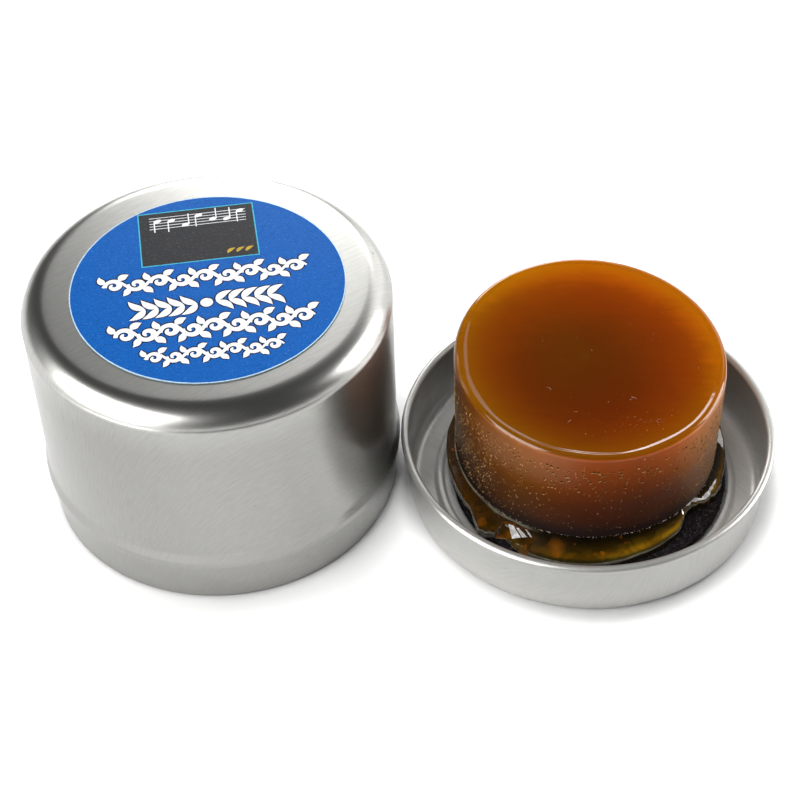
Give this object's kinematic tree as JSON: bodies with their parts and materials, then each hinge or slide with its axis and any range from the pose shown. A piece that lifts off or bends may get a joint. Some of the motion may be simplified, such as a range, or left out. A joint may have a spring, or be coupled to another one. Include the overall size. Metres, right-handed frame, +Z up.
{
  "type": "rosin cake in an open tin",
  "caption": "Round cake of amber bow rosin on a felt pad in a shallow tin tray, with its deep labelled slip-over cover standing mouth down beside it.",
  "frame": {"origin": "centre of the tray's underside, on the surface that the tin stands on", "axes": "+Z up; +X from the cover's side towards the tray's side; +Y to the back"},
  "size_m": [0.1035, 0.0561, 0.0358],
  "materials": {
    "tinplate": "fine straight brushing, satin",
    "label_paper": "printed, lightly textured paper with a soft sheen",
    "black_felt": "coarse matt felt",
    "clear_rosin": "glossy, see-through, with broken chips",
    "amber_rosin": "glossy top, cloudy translucent side with fine bubbles"
  },
  "bodies": {
    "tray": {"tin_tray": "tinplate", "base_pad": "black_felt"},
    "cake": {"rosin_foot": "clear_rosin", "rosin_cake": "amber_rosin"},
    "cover": {"tin_cover": "tinplate", "cover_label": "label_paper"}
  },
  "joints": [
    {"name": "cover_lift", "type": "slide", "parent": "tray", "child": "cover", "axis": [0, 0, 1], "range_m": [0, 0.045]},
    {"name": "cake_lift", "type": "slide", "parent": "tray", "child": "cake", "axis": [0, 0, 1], "range_m": [0, 0.03]}
  ]
}
